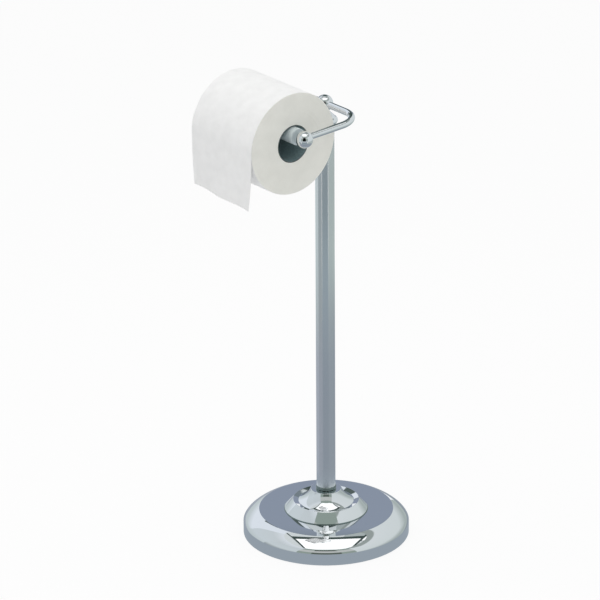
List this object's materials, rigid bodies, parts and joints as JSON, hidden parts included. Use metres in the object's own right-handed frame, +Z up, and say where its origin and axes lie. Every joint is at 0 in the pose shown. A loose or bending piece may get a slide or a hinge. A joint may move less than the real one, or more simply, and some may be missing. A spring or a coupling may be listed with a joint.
{
  "type": "toilet paper stand",
  "caption": "Free-standing toilet paper stand: weighted round foot, tube post, C-shaped bar with ball ends, spring roller and a roll with a hanging sheet.",
  "frame": {"origin": "centre of the foot's underside, on the post's axis", "axes": "+Z up along the post; X along the roller, +X to the roller's thicker, visible end; -Y from the post to the roller"},
  "size_m": [0.184, 0.2315, 0.5452],
  "materials": {
    "chrome": "polished chrome plating",
    "satin_plate": "pale satin plating of the roller",
    "zinc_steel": "zinc-plated steel",
    "iron": "bare casting",
    "foam": "dense foam pad",
    "cardboard": "grey-brown wound board",
    "paper": "soft white tissue"
  },
  "bodies": {
    "stand": {"foot_pad": "foam", "base_weight": "iron", "base_shell": "chrome", "base_nut": "zinc_steel", "lock_washer": "zinc_steel", "flat_washer": "zinc_steel", "base_stud": "zinc_steel", "bell_cover": "chrome", "foot_collar": "chrome", "post_tube": "chrome", "post_foot_insert": "zinc_steel", "post_top_insert": "zinc_steel", "top_cap": "chrome", "hub_stud": "zinc_steel", "hub_ball": "chrome", "holder_bar": "chrome", "left_ball": "chrome", "right_ball": "chrome", "paper_tail": "paper"},
    "roller_sleeve": {"roller_outer_barrel": "satin_plate", "right_tip": "satin_plate", "roller_spring": "zinc_steel"},
    "roller_plunger": {"roller_inner_barrel": "satin_plate", "left_tip": "satin_plate"},
    "roll": {"cardboard_core": "cardboard", "paper_roll": "paper"}
  },
  "joints": [
    {"name": "roller_spin", "type": "hinge", "parent": "stand", "child": "roller_sleeve", "pos_m": [0, -0.07832, 0.49969], "axis": [1, 0, 0], "continuous": true},
    {"name": "plunger_slide", "type": "slide", "parent": "roller_sleeve", "child": "roller_plunger", "axis": [1, 0, 0], "range_m": [0, 0.016], "stiffness_N_per_m": 250, "springref_m": -0.02, "deforming": ["roller_spring"]},
    {"name": "roll_spin", "type": "hinge", "parent": "stand", "child": "roll", "pos_m": [0, -0.07832, 0.48959], "axis": [1, 0, 0], "continuous": true}
  ]
}
